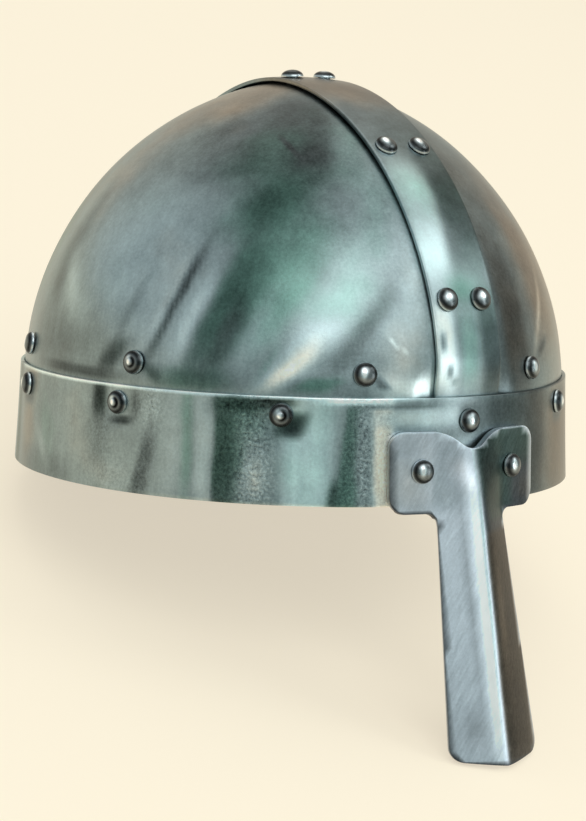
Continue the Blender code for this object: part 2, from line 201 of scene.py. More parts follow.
def steelMaterial(name, finish):
    material = bpy.data.materials.new(name)
    material.use_nodes = True
    tree = material.node_tree
    make = tree.nodes.new
    link = tree.links.new
    shader = tree.nodes["Principled BSDF"]
    shader.inputs["Metallic"].default_value = 1.0

    def math2(operation, first, second, clamp=False):
        node = make("ShaderNodeMath")
        node.operation = operation
        node.use_clamp = clamp
        for socket, value in zip(node.inputs, (first, second)):
            if isinstance(value, float):
                socket.default_value = value
            else:
                link(value, socket)
        return node.outputs[0]

    def attribute(layer):
        node = make("ShaderNodeAttribute")
        node.attribute_name = layer
        return node.outputs["Fac"]

    where = make("ShaderNodeTexCoord").outputs["Object"]
    turn = make("ShaderNodeMapping")
    turn.inputs["Rotation"].default_value = (math.radians(helmet["lean"]), 0.0, 0.0)
    link(where, turn.inputs["Vector"])
    upright = turn.outputs["Vector"]

    def noiseAt(scale, detail=3.0, roughness=0.55, stretch=None):
        node = make("ShaderNodeTexNoise")
        node.inputs["Scale"].default_value = scale
        node.inputs["Detail"].default_value = detail
        node.inputs["Roughness"].default_value = roughness
        source = upright
        if stretch is not None:
            squeeze = make("ShaderNodeMapping")
            squeeze.vector_type = "TEXTURE"   # turns the pattern first and stretches it after
            squeeze.inputs["Scale"].default_value = [1.0 / share for share in stretch]
            if finish.get("brushTurn"):
                squeeze.inputs["Rotation"].default_value = (0.0, math.radians(finish["brushTurn"]), 0.0)
            link(upright, squeeze.inputs["Vector"])
            source = squeeze.outputs["Vector"]
        link(source, node.inputs["Vector"])
        return node.outputs["Fac"]

    tone = attribute("tone")
    grain = attribute("grain")
    cloud = math2("SUBTRACT", noiseAt(finish["cloudScale"], 4.0), 0.5)
    speck = math2("SUBTRACT", noiseAt(finish["speckScale"], 2.0, 0.7), 0.5)
    brush = math2("SUBTRACT", noiseAt(finish["brushScale"], 3.0, 0.6, finish["brushStretch"]), 0.5)
    tone = math2("ADD", tone, math2("MULTIPLY", cloud, finish["cloud"]))
    pits = math2("MULTIPLY", speck, grain)
    tone = math2("ADD", tone, math2("MULTIPLY", pits, finish["speck"]))
    tone = math2("ADD", tone, math2("MULTIPLY", brush, finish["brush"]))
    level = math2("POWER", math2("MAXIMUM", tone, steel["darkest"]), steel["tonePower"])
    level = math2("MULTIPLY", level, steel["gain"])

    tintNoise = math2("SUBTRACT", noiseAt(finish["tintScale"], 3.0), 0.5)
    tint = math2("ADD", attribute("tint"), math2("MULTIPLY", tintNoise, finish["tintSpread"]))
    tint = math2("ADD", math2("MULTIPLY", tint, 0.5), 0.5, True)
    ramp = make("ShaderNodeValToRGB")
    ramp.color_ramp.interpolation = "EASE"
    ramp.color_ramp.elements[0].color = (*finish["green"], 1.0)
    ramp.color_ramp.elements[1].color = (*finish["brown"], 1.0)
    middle = ramp.color_ramp.elements.new(0.5)
    middle.color = (*finish["grey"], 1.0)
    link(tint, ramp.inputs["Fac"])
    scale = make("ShaderNodeVectorMath")
    scale.operation = "SCALE"
    link(ramp.outputs["Color"], scale.inputs[0])
    link(level, scale.inputs["Scale"])
    link(scale.outputs["Vector"], shader.inputs["Base Color"])

    rough = math2("ADD", math2("MULTIPLY", cloud, steel["cloudRough"]), finish["roughness"])
    rough = math2("ADD", rough, math2("MULTIPLY", pits, steel["pitRough"]))
    rough = math2("ADD", rough, math2("MULTIPLY", brush, steel["brushRough"]))
    link(rough, shader.inputs["Roughness"])

    height = math2("MULTIPLY", pits, finish["pitDepth"])
    height = math2("ADD", height, math2("MULTIPLY", brush, finish["brushDepth"]))
    bump = make("ShaderNodeBump")
    bump.inputs["Distance"].default_value = steel["bumpHeight"]
    link(height, bump.inputs["Height"])
    link(bump.outputs["Normal"], shader.inputs["Normal"])
    return material


sheetFinish = dict(
    cloudScale=85.0, cloud=0.18, speckScale=900.0, speck=0.42, pitDepth=0.10,
    brushScale=42.0, brushStretch=(8.0, 8.0, 1.0), brush=0.10, brushDepth=0.012,
    tintScale=34.0, tintSpread=0.9, roughness=0.34,
    green=(0.58, 1.12, 0.97), grey=(0.83, 1.035, 1.08), brown=(1.13, 0.98, 0.80))
nasalFinish = dict(
    cloudScale=45.0, cloud=0.10, speckScale=1100.0, speck=0.35, pitDepth=0.05,
    brushScale=110.0, brushStretch=(9.0, 9.0, 1.0), brush=0.15, brushTurn=32.0, brushDepth=0.05,
    tintScale=40.0, tintSpread=0.5, roughness=0.36,
    green=(0.68, 1.09, 1.0), grey=(0.91, 1.01, 1.12), brown=(1.18, 0.97, 0.76))
rivetFinish = dict(
    cloudScale=260.0, cloud=0.14, speckScale=1500.0, speck=0.30, pitDepth=0.03,
    brushScale=160.0, brushStretch=(4.0, 4.0, 1.0), brush=0.10, brushDepth=0.01,
    tintScale=120.0, tintSpread=0.5, roughness=0.29,
    green=(0.70, 1.08, 0.98), grey=(0.90, 1.01, 1.06), brown=(1.10, 0.98, 0.84))
sheetSteel = steelMaterial("sheetSteel", sheetFinish)
nasalSteel = steelMaterial("nasalSteel", nasalFinish)
rivetSteel = steelMaterial("rivetSteel", rivetFinish)
print("steel finishes are mixed")

# Skull: the two halves are alike in form, hand-raised, with soft unevenness
skull = dict(
    foot=0.006, seam=0.001, columns=200, rows=120, footShare=0.24, edge=0.0002,
    wobble=0.00035, wobbleScale=26.0, wobbleLift=0.8,
    calmAcross=0.016, calmAcrossRun=0.014, calmBelow=0.040, calmBelowRun=0.010,
    dishDeep=0.0018, dishHalf=0.0152, dishRise=0.016, dishRun=0.010, dishDrop=0.005, dishFloor=0.0214)


def dish(x, height):   # where the skull is beaten in under the crest band's ends
    across = fall(abs(x), skull["dishHalf"], skull["dishRun"])
    upward = fall(height, helmet["springHeight"], skull["dishRise"])
    downward = fall(skull["dishFloor"] - height, 0.0, skull["dishDrop"])
    return skull["dishDeep"] * across * upward * downward


def skullPoint(side, across, along):
    turn = math.pi * across
    if along < skull["footShare"]:
        height = skull["foot"] + (helmet["springHeight"] - skull["foot"]) * along / skull["footShare"]
        length, width = halfAxes(height, -helmet["browSheet"] - helmet["gap"])
    else:
        length, width, rise = skullAxes(0.0)
        climb = 90.0 * (along - skull["footShare"]) / (1.0 - skull["footShare"])
        reach, lift = climbShares(climb)
        length, width, height = length * reach, width * reach, helmet["springHeight"] + rise * lift
    x = skull["seam"] / 2 + max(width - skull["seam"] / 2, 0.0) * math.sin(turn)
    y = -length * math.cos(turn)
    point = Vector((side * x, y + math.copysign(dish(x, height), math.cos(turn)), height))
    free = 1.0 - fall(abs(point.x), skull["calmAcross"], skull["calmAcrossRun"])
    free *= 1.0 - fall(height, skull["calmBelow"], skull["calmBelowRun"])
    swell = noise.noise(point * skull["wobbleScale"] + Vector((2.0, 5.0, 8.0)))
    inward = Vector((point.x, point.y, height * skull["wobbleLift"])).normalized()
    return point - inward * skull["wobble"] * free * (1.0 + swell)


# at is (degrees round from the front, millimetres above the rim); the pale and dark streaks are stains mixed
# with painted reflections, painted highlights and painted shade
skullStainsAndPaintedLight = [
    dict(at=(-85, 146), size=(60, 14), tone=0.55, tint=0.75, edge=1.5),
    dict(at=(-98, 115), size=(14, 26), tone=0.60, tint=0.6),
    dict(at=(-80, 92), size=(18, 22), tone=0.64, tint=-0.05),
    dict(at=(-70, 75), size=(12, 22), tone=0.62, tint=0.1),
    dict(at=(-101, 78), size=(5, 25), tone=0.43, tint=-0.2),
    dict(at=(-94, 73), size=(3.5, 11), slope=-0.3, tone=0.64, tint=0.0),
    dict(at=(-94, 51), size=(13, 8), tone=0.44, tint=-0.1),
    dict(at=(-42, 125), size=(24, 14), tone=0.33, tint=-0.65, edge=1.6),
    dict(at=(-62, 131), size=(9, 4), slope=0.8, tone=0.38, tint=0.2),
    dict(at=(-36, 137), size=(17, 7), tone=0.30, tint=-0.2, edge=1.4),
    dict(at=(-32, 122), size=(7, 8), slope=0.4, tone=0.24, tint=-0.1),
    dict(at=(-18, 128), size=(8, 10), tone=0.41, tint=-0.45),
    dict(at=(-39, 124), size=(1.2, 4.5), slope=-1.1, tone=0.26, tint=0.0, edge=1.5),
    dict(at=(-34.5, 121.5), size=(1.1, 3.5), slope=1.0, tone=0.26, tint=0.0, edge=1.5),
    dict(at=(-42, 106), size=(9, 13), slope=0.3, tone=0.33, tint=-1.0, edge=1.2),
    dict(at=(-49, 72), size=(6, 26), slope=0.25, tone=0.37, tint=-1.0, edge=1.6),
    dict(at=(-37, 88), size=(8, 20), slope=0.25, tone=0.45, tint=-0.75),
    dict(at=(-16, 102), size=(8, 18), tone=0.54, tint=-0.3),
    dict(at=(-50.5, 60), size=(1.9, 13), slope=0.2, tone=0.34, tint=-0.6, edge=1.5),
    dict(at=(-62.3, 69), size=(1.3, 20), slope=0.235, tone=0.28, tint=-0.4, edge=1.4),
    dict(at=(-58, 64), size=(2.2, 17), slope=0.22, tone=0.70, tint=0.1, edge=1.2),
    dict(at=(-65.5, 64), size=(1.8, 14), slope=0.25, tone=0.64, tint=0.2),
    dict(at=(-73.5, 62), size=(1.4, 14), slope=0.2, tone=0.50, tint=-0.1),
    dict(at=(-56, 43), size=(8, 4), tone=0.38, tint=-0.6, edge=1.5),
    dict(at=(-44, 60), size=(4, 14), slope=0.25, tone=0.62, tint=-0.4),
    dict(at=(-42.5, 48), size=(1.0, 7), slope=0.35, tone=0.50, tint=-0.7),
    dict(at=(-38, 72), size=(4, 12), slope=0.3, tone=0.48, tint=-0.7),
    dict(at=(-28, 72), size=(6, 17), slope=0.40, tone=0.56, tint=-0.35, edge=1.5),
    dict(at=(-34, 57), size=(4.2, 8), slope=0.5, tone=0.70, tint=0.1, edge=1.4),
    dict(at=(-38, 48), size=(3, 8), slope=0.6, tone=0.88, tint=0.75),
    dict(at=(-18, 92), size=(7, 8), slope=0.5, tone=0.59, tint=-0.3),
    dict(at=(-22.5, 63), size=(2.4, 16), slope=0.42, tone=0.41, tint=-0.2, edge=1.3),
    dict(at=(-14, 55), size=(5, 13), tone=0.62, tint=0.35, edge=1.5),
    dict(at=(-13, 42), size=(6, 4), tone=0.80, tint=0.3, edge=1.5),
    dict(at=(-11.5, 82), size=(4, 18), tone=0.62, tint=0.15),
    dict(at=(-16.4, 57), size=(0.5, 2.6), slope=-0.7, tone=0.78, tint=0.3, edge=1.5),
    dict(at=(-32, 43), size=(4.5, 2.8), slope=0.8, tone=0.44, tint=-0.8, edge=1.6),
    dict(at=(-86, 41.5), size=(13, 2.2), tone=0.34, tint=-0.1, edge=1.6),
    dict(at=(-75.5, 49), size=(2.6, 6), slope=0.35, tone=0.33, tint=-0.3, edge=1.5),
    dict(at=(-65.5, 44), size=(1.8, 3.5), slope=-0.5, tone=0.38, tint=-0.3, edge=1.5),
    dict(at=(-19.6, 44), size=(1.4, 2.4), slope=-0.5, tone=0.40, tint=-0.2, edge=1.6),
    dict(at=(9.5, 85), size=(2, 50), slope=-0.03, tone=0.45, tint=-0.6, edge=1.6),
    dict(at=(15, 70), size=(6, 32), tone=0.34, tint=0.5, edge=1.4),
    dict(at=(16, 115), size=(9, 16), tone=0.45, tint=0.4),
    dict(at=(30, 82), size=(8, 32), tone=0.49, tint=1.0, edge=1.3),
    dict(at=(28.5, 67), size=(1.1, 12), slope=0.4, tone=0.70, tint=0.7),
    dict(at=(27, 54), size=(1.6, 2.6), slope=0.8, tone=0.36, tint=0.2),
    dict(at=(48, 80), size=(12, 40), tone=0.50, tint=0.9),
    dict(at=(66, 72), size=(4, 30), slope=-0.22, tone=0.38, tint=-0.6, edge=1.4),
    dict(at=(76, 84), size=(6, 34), slope=-0.22, tone=0.68, tint=0.0),
    dict(at=(98, 80), size=(9, 44), slope=-0.2, tone=0.48, tint=-0.4),
    dict(at=(109, 66), size=(1.7, 24), slope=-0.2, tone=0.34, tint=-0.7, edge=1.4),
    dict(at=(124, 80), size=(7, 40), slope=-0.1, tone=0.66, tint=0.1),
    dict(at=(142, 100), size=(9, 40), tone=0.40, tint=-0.9, edge=1.4),
    dict(at=(158, 60), size=(6, 26), slope=0.2, tone=0.70, tint=0.3),
    dict(at=(172, 70), size=(4, 40), tone=0.44, tint=-0.4),
    dict(at=(-168, 76), size=(6, 40), slope=0.1, tone=0.60, tint=0.1),
    dict(at=(-154, 70), size=(3, 34), slope=0.15, tone=0.36, tint=-0.7, edge=1.4),
    dict(at=(-142, 84), size=(7, 36), slope=0.2, tone=0.68, tint=0.0),
    dict(at=(-122, 80), size=(7, 40), slope=0.15, tone=0.44, tint=-0.6),
]
skullPaint = dict(tone=0.52, middle=0.545, contrast=1.35, tint=0.0, grain=0.35, drift=0.8)
for name, side in (("shell_right", -1), ("shell_left", 1)):
    shell = gridSheet(name.replace("shell", "skull"), skull["columns"], skull["rows"],
                      lambda across, along: skullPoint(side, across, along))
    faceOutward(shell, inside)
    giveWall(shell, helmet["skullSheet"], -1.0, skull["edge"])
    shell.data.transform(leanBack)
    paintSteel(shell, skullPaint, skullStainsAndPaintedLight, lambda point: (angleOf(point), point.z * 1000))
    finishPiece(shell, [name], sheetSteel)
print("skull halves are raised")

# Crest band, laid over the seam
crest = dict(
    width=0.0292, sheet=0.0015, foot=0.022, bend=0.45, columns=24, rows=280, footShare=0.05, edge=0.0003)


def skullStrip(climb, x, outset):
    length, width, rise = skullAxes(outset)
    reach, lift = climbShares(climb)
    level = reach * reach + (x / width) ** 2
    roundPart = level ** (helmet["roundPower"] / 2)
    risePart = lift ** helmet["risePower"]
    slope = helmet["roundPower"] * reach * reach * roundPart / level + helmet["risePower"] * risePart
    kept = 1.0 - (roundPart + risePart - 1.0) / slope
    depth = dish(0.0, helmet["springHeight"] + rise * lift)
    y = math.copysign(depth, reach) - length * reach
    return Vector((x, y * kept, helmet["springHeight"] + rise * lift * kept))


def crestPoint(climb, x, outset):
    middle = skullStrip(climb, 0.0, helmet["gap"] + outset)
    side = skullStrip(climb, x, helmet["gap"] + outset)
    flat = fall(middle.z, helmet["springHeight"], 2 * skull["dishRise"])
    point = middle.lerp(side, crest["bend"] + (1.0 - crest["bend"]) * flat)
    point.x = x
    return point


def crestFootPoint(end, height, x):
    depth = wallDepth(x, height, -helmet["browSheet"])
    return Vector((x, end * (depth - dish(0.0, height)), height))


def crestPlace(across, along):
    x = (across - 0.5) * crest["width"]
    share = crest["footShare"]
    footRise = helmet["springHeight"] - crest["foot"]
    if along < share:
        return crestFootPoint(-1, crest["foot"] + footRise * along / share, x)
    if along > 1.0 - share:
        return crestFootPoint(1, crest["foot"] + footRise * (1.0 - along) / share, x)
    return crestPoint(180.0 * (along - share) / (1.0 - 2 * share), x, 0.0)


# at is (millimetres across, degrees climbed from the brow over the crown); the left half carries a painted
# highlight and the right half painted shade, mixed with stains
crestStainsAndPaintedLight = [
    dict(at=(0, 80), size=(30, 17), tone=0.48, tint=0.75, edge=1.5),
    dict(at=(-11, 63), size=(6, 6), tone=0.40, tint=-0.1),
    dict(at=(0, 60), size=(14, 5), tone=0.44, tint=-0.2),
    dict(at=(-8, 37), size=(9.2, 15), slope=0.2, tone=0.70, tint=-0.25, edge=2.2),
    dict(at=(-7, 45), size=(6, 4.5), tone=0.80, tint=-0.3),
    dict(at=(9.5, 38), size=(9.0, 15), slope=0.25, tone=0.33, tint=-0.3, edge=2.4),
    dict(at=(9, 50), size=(8, 4), tone=0.42, tint=-0.2),
    dict(at=(10.5, 10), size=(5.0, 11), tone=0.35, tint=-0.35, edge=2.0),
    dict(at=(0, 9), size=(5.5, 8), tone=0.54, tint=-0.6, edge=1.5),
    dict(at=(-11, 10), size=(5.0, 9.0), tone=0.86, tint=0.35, edge=2.0),
    dict(at=(0, 21), size=(7, 3), tone=0.42, tint=-0.8),
    dict(at=(-12, 11), size=(1.2, 1.6), tone=0.50, tint=-0.1, edge=1.5),
    dict(at=(-9.5, 5.5), size=(1.4, 1.4), tone=0.48, tint=-0.2, edge=1.5),
    dict(at=(-7, 3.6), size=(1.6, 0.9), tone=0.52, tint=-0.2, edge=1.5),
    dict(at=(-6, 118), size=(8, 16), tone=0.62, tint=0.2),
    dict(at=(8, 124), size=(7, 18), tone=0.38, tint=-0.7, edge=1.6),
    dict(at=(4, 152), size=(7, 14), tone=0.64, tint=0.1),
    dict(at=(-9, 158), size=(5, 18), tone=0.38, tint=-0.6, edge=1.6),
]


def crestWhere(point):
    rise = helmet["crownHeight"] - helmet["springHeight"]
    ahead = -point.y / (helmet["rimLength"] / 2)
    return point.x * 1000, math.degrees(math.atan2((point.z - helmet["springHeight"]) / rise, ahead))


crestBand = gridSheet("crest_strap", crest["columns"], crest["rows"], crestPlace)
faceOutward(crestBand, inside)
giveWall(crestBand, crest["sheet"], 1.0, crest["edge"])
crestBand.data.transform(leanBack)
crestPaint = dict(tone=0.48, middle=0.49, contrast=1.15, tint=0.0, grain=0.25, drift=0.5)
paintSteel(crestBand, crestPaint, crestStainsAndPaintedLight, crestWhere)
finishPiece(crestBand, ["crest_band"], sheetSteel)
print("crest band is laid")

# Brow band, a closed ring with a few soft dents
brow = dict(
    columns=600, rows=26, edge=0.0003, wobble=0.00018, wobbleScale=34.0, calmEdges=0.35,
    lift=0.0014, liftAngle=70.0, liftFull=18.0, liftRun=34.0)   # the top edge is a little higher on the left
millimetresPerDegree = 1.9
browDents = [   # sunk a little round some rivets: at is the angle and height in mm, depth is in m
    dict(at=(-73, 31.5), reach=7.5, depth=0.0009),
    dict(at=(-38.5, 31), reach=8.5, depth=0.0010),
    dict(at=(-0.5, 31), reach=6.0, depth=0.0004),
]


def browPlace(across, along):
    angle = -180.0 + 360.0 * across
    return browPoint(angle, helmet["browHeight"] * along)


def browPoint(angle, height):
    along = height / helmet["browHeight"]
    beside = fall(abs(angle - brow["liftAngle"]), brow["liftFull"], brow["liftRun"])
    point = wallPoint(angle, height + brow["lift"] * max(along, 0.0) * beside, 0.0)
    swell = noise.noise(point * brow["wobbleScale"])
    sink = brow["wobble"] * (1.0 + swell)
    for dent in browDents:
        aside = (angle - dent["at"][0]) * millimetresPerDegree
        away = math.hypot(aside, height * 1000 - dent["at"][1]) / dent["reach"]
        sink += dent["depth"] * math.exp(-away * away)
    middle = math.sin(math.pi * min(max(along, 0.0), 1.0)) ** 0.5
    sink *= brow["calmEdges"] + (1.0 - brow["calmEdges"]) * middle
    inward = Vector((point.x, point.y, 0.0)).normalized()
    return point - inward * sink


# pale and dark streaks are stains mixed with painted reflections, a painted highlight runs along the top edge
# and painted shade crescents lie round some rivets
browStainsAndPaintedLight = [
    dict(at=(-104, 19), size=(5, 40), tone=0.52, tint=0.6),
    dict(at=(-92, 3), size=(14, 6), tone=0.46, tint=0.0, edge=1.4),
    dict(at=(-95, 24), size=(5, 14), tone=0.50, tint=-0.35),
    dict(at=(-84, 14), size=(7, 18), slope=-0.2, tone=0.57, tint=0.15),
    dict(at=(-97, 12), size=(1.6, 9), slope=-0.4, tone=0.57, tint=0.1),
    dict(at=(-77, 20), size=(3, 12), tone=0.48, tint=0.0, grain=0.8),
    dict(at=(-74, 5), size=(6, 6), tone=0.58, tint=0.2, grain=0.8),
    dict(at=(-65, 32), size=(2.4, 7), tone=0.60, tint=0.1, grain=1.2),
    dict(at=(-66.5, 9), size=((1.4, 2.4), 14), slope=0.12, tone=0.38, tint=0.0, edge=1.5, grain=0.9),
    dict(at=(-59.5, 20), size=(3.4, 30), tone=0.62, tint=0.15),
    dict(at=(-57, 20), size=(1.6, 30), tone=0.54, tint=-0.55),
    dict(at=(-53.8, 18), size=((1.6, 1.9), 30), tone=0.66, tint=0.1, edge=2.0),
    dict(at=(-45, 18), size=((3.0, 4.2), 30), tone=0.48, tint=-0.5, grain=1.6, edge=1.5),
    dict(at=(-43.5, 10), size=(2.6, 12), tone=0.68, tint=0.4, grain=1.5),
    dict(at=(-50.6, 14), size=((1.0, 3.6), 24), tone=0.34, tint=-0.75, edge=2.0, grain=0.8),
    dict(at=(-48, 35), size=((3.4, 6.0), 2.6), tone=0.30, tint=-0.7, edge=1.6, grain=1.0),
    dict(at=(-34, 14), size=((5.0, 5.4), 24), tone=0.80, tint=-0.25, edge=2.4),
    dict(at=(-77.4, 33), size=(1.8, 7), tone=0.27, tint=-0.3, edge=1.6),
    dict(at=(-71.6, 25.8), size=(2.6, 1.6), slope=0.3, tone=0.30, tint=-0.2, edge=1.6),
    dict(at=(-68.6, 32), size=(1.4, 5), tone=0.42, tint=0.0, grain=0.8),
    dict(at=(-37.2, 28.5), size=(3.0, 4.6), slope=0.15, tone=0.30, tint=-0.5, edge=2.0),
    dict(at=(-40.5, 36.6), size=(4, 1.5), tone=0.28, tint=-0.5, edge=1.6),
    dict(at=(-28.4, 4), size=(1.5, 6), slope=0.1, tone=0.36, tint=-0.6, edge=1.6, grain=0.8),
    dict(at=(-26.0, 17), size=((1.6, 2.6), 30), slope=0.05, tone=0.43, tint=-0.7, edge=2.2, grain=1.0),
    dict(at=(-23, 15), size=(1.6, 26), tone=0.56, tint=0.1, grain=1.8),
    dict(at=(-19.5, 16), size=((1.9, 2.4), 30), tone=0.86, tint=0.75, edge=2.0, grain=0.9),
    dict(at=(-14, 31.5), size=(9, 3.4), tone=0.76, tint=0.3, edge=1.6),
    dict(at=(-25, 37.4), size=(8, 1.7), tone=0.92, tint=0.0, edge=1.8),
    dict(at=(-17, 35.2), size=(8.5, 0.6), slope=0.0, tone=0.42, tint=-0.2, edge=1.8),
    dict(at=(-5, 25), size=(2.5, 4), tone=0.44, tint=-0.2),
    dict(at=(-62, 38.7), size=(54, 0.7), tone=0.92, tint=0.1, edge=2.5),
    dict(at=(9, 32), size=(9, 8), tone=0.37, tint=-0.15, edge=1.6),
    dict(at=(20, 20), size=(5, 30), tone=0.32, tint=0.2, edge=1.4),
    dict(at=(36, 16), size=(13, 24), tone=0.39, tint=0.85, edge=1.6),
    dict(at=(37, 33), size=(4, 5), tone=0.34, tint=0.2, edge=1.4),
    dict(at=(56, 18), size=((3, 7), 30), tone=0.34, tint=-0.5, edge=1.6, grain=0.9),
    dict(at=(74, 20), size=(7, 26), tone=0.68, tint=0.1, edge=1.4),
    dict(at=(96, 16), size=((1.6, 6), 30), tone=0.34, tint=-0.7, edge=1.6, grain=1.3),
    dict(at=(112, 20), size=(6, 26), tone=0.64, tint=-0.5, edge=1.4),
    dict(at=(132, 16), size=((2, 5), 30), tone=0.36, tint=-0.6, edge=1.6, grain=1.2),
    dict(at=(152, 20), size=(7, 26), tone=0.68, tint=0.3, edge=1.4),
    dict(at=(172, 16), size=((2, 6), 30), tone=0.38, tint=-0.6, edge=1.6, grain=1.2),
    dict(at=(-164, 20), size=(7, 26), tone=0.66, tint=0.1, edge=1.4),
    dict(at=(-146, 16), size=((2, 6), 30), tone=0.36, tint=-0.6, edge=1.6, grain=1.2),
    dict(at=(-126, 20), size=(8, 26), tone=0.66, tint=-0.4, edge=1.4),
    dict(at=(-114, 16), size=((2, 3), 30), tone=0.40, tint=-0.5, edge=1.6, grain=1.0),
]
rivetShadeRing = dict(angles=(-142, -106, -0.5, 32, 69, 106, 143, 180), aside=0.8, height=30.5)
for angle in rivetShadeRing["angles"]:   # a darker ring of painted shade round the heads
    where = (angle + rivetShadeRing["aside"], rivetShadeRing["height"])
    browStainsAndPaintedLight.append(dict(at=where, size=(3.2, 5.6), tone=0.36, tint=-0.2, edge=2.0))
browBand = gridSheet("brow_ring", brow["columns"], brow["rows"], browPlace)
faceOutward(browBand, inside)
giveWall(browBand, helmet["browSheet"], -1.0, brow["edge"])
browBand.data.transform(leanBack)
browPaint = dict(tone=0.56, middle=0.57, contrast=1.2, tint=0.0, grain=0.35, drift=0.45)
paintSteel(browBand, browPaint, browStainsAndPaintedLight, lambda point: (angleOf(point), point.z * 1000))
finishPiece(browBand, ["brow_band"], sheetSteel)
print("brow band is closed")

# Nasal: cut flat from its outline, then bent to the brow and into a roof
nasal = dict(
    sheet=0.0025, shift=-0.0025, drop=0.090, lean=12.4, barWidth=0.0296,
    ridge=0.0082, ridgeSoft=0.16, ridgeFade=0.6, fadeFrom=0.006, fadeRun=0.016,
    tipWidth=0.0400, tipPoint=0.002, tipCorner=0.005,
    lugSpan=0.0650, lugTop=0.0268, lugFoot=-0.0023, lugCorner=0.0058, lugFillet=0.0035,
    notchWidth=0.0230, notchFloor=0.0050, notchDepth=0.0062, notchRound=0.0170, notchFoot=0.0072,
    cornerSteps=8, softEdge=0.0006, softEdgeAngle=66, cutStart=-0.088, cutStep=0.003, cutRows=39,
    columns=(0.0005, 0.0011, 0.0018, 0.0027, 0.0039, 0.0055, 0.0075, 0.0100,
             0.0125, 0.0148, 0.0172, 0.0200, 0.0230, 0.0260, 0.0290),
    # the edge line settings give a painted highlight and painted shade along the outline
    edgeLightReach=0.00045, edgeLightTone=0.58, edgeLightContrast=0.34, edgeLightTint=0.1, edgeLightFrom=(0.6, 0.8))


def barHalf(height):
    share = max(-height, 0.0) / nasal["drop"]
    return nasal["barWidth"] / 2 + (nasal["tipWidth"] - nasal["barWidth"]) / 2 * share


def roofShare(offset):
    soft = nasal["ridgeSoft"]
    if offset >= 1.0:
        return 0.0
    return 1.0 - (math.hypot(offset, soft) - soft) / (math.hypot(1.0, soft) - soft)


def nasalPlace(across, height):
    lift = helmet["gap"] + nasal["sheet"]
    half = barHalf(height)
    foot = wallDepth(nasal["shift"] - half, height, lift)
    reachAtRim = wallDepth(nasal["shift"] - nasal["barWidth"] / 2, 0.0, lift) + nasal["ridge"]
    reach = reachAtRim - math.tan(math.radians(nasal["lean"])) * height
    forward = reach - nasal["ridge"] - foot if height < 0.0 else 0.0
    proud = reach - forward - wallDepth(nasal["shift"], height, lift)
    fade = fall(height, nasal["fadeFrom"], nasal["fadeRun"])
    proud *= nasal["ridgeFade"] + (1.0 - nasal["ridgeFade"]) * fade
    x = nasal["shift"] + across
    depth = wallDepth(x, height, lift) + forward + proud * roofShare(abs(across) / half)
    return Vector((x, -depth, height))


def roundedOutline(corners):
    points = []
    for before, corner, after in zip([corners[0]] + corners[:-1], corners, corners[1:] + [corners[-1]]):
        here = Vector(corner[:2])
        if corner[2] == 0.0:
            points.append(here)
            continue
        back = (Vector(before[:2]) - here).normalized()
        ahead = (Vector(after[:2]) - here).normalized()
        half = back.angle(ahead) / 2
        centre = here + (back + ahead).normalized() * corner[2] / math.sin(half)
        start = here + back * corner[2] / math.tan(half) - centre
        sweep = start.angle_signed(here + ahead * corner[2] / math.tan(half) - centre)
        for step in range(nasal["cornerSteps"] + 1):
            points.append(centre + Matrix.Rotation(-sweep * step / nasal["cornerSteps"], 2) @ start)
    return points


def nasalOutline():
    notch = nasal["lugTop"] - nasal["notchDepth"]
    half = roundedOutline([
        (0.0, notch, 0.0),
        (nasal["notchFloor"] / 2, notch, nasal["notchFoot"]),
        (nasal["notchWidth"] / 2, nasal["lugTop"], nasal["notchRound"]),
        (nasal["lugSpan"] / 2, nasal["lugTop"], nasal["lugCorner"]),
        (nasal["lugSpan"] / 2, nasal["lugFoot"], nasal["lugCorner"]),
        (nasal["barWidth"] / 2, nasal["lugFoot"], nasal["lugFillet"]),
        (nasal["tipWidth"] / 2, nasal["tipPoint"] - nasal["drop"], nasal["tipCorner"]),
        (0.0, -nasal["drop"], 0.0)])
    return half + [Vector((-point.x, point.y)) for point in reversed(half[1:-1])]


outline = nasalOutline()
deselectAll()
bpy.ops.mesh.primitive_circle_add(vertices=len(outline), radius=0.02, fill_type="NGON")
nasalGuard = bpy.context.object
nasalGuard.name = nasalGuard.data.name = "nasal_guard"
for corner, point in zip(nasalGuard.data.vertices, outline):
    corner.co = (point.x, 0.0, point.y)
upright, level = Vector((1.0, 0.0, 0.0)), Vector((0.0, 0.0, 1.0))
cuts = [(0.0, upright)]
cuts += [(side * column, upright) for side in (1, -1) for column in nasal["columns"]]
cuts += [(nasal["cutStart"] + row * nasal["cutStep"], level) for row in range(nasal["cutRows"])]
bpy.ops.object.mode_set(mode="EDIT")
for place, normal in cuts:
    bpy.ops.mesh.select_all(action="SELECT")
    bpy.ops.mesh.bisect(plane_co=normal * place, plane_no=normal, threshold=0.000001)
bpy.ops.object.mode_set(mode="OBJECT")
for corner in nasalGuard.data.vertices:
    corner.co = nasalPlace(corner.co.x, corner.co.z)
nasalGuard.data.update()
faceOutward(nasalGuard, Vector((0.0, 0.0, 0.0)))
giveWall(nasalGuard, nasal["sheet"], -1.0, nasal["softEdge"], nasal["softEdgeAngle"])
nasalGuard.data.transform(leanBack)
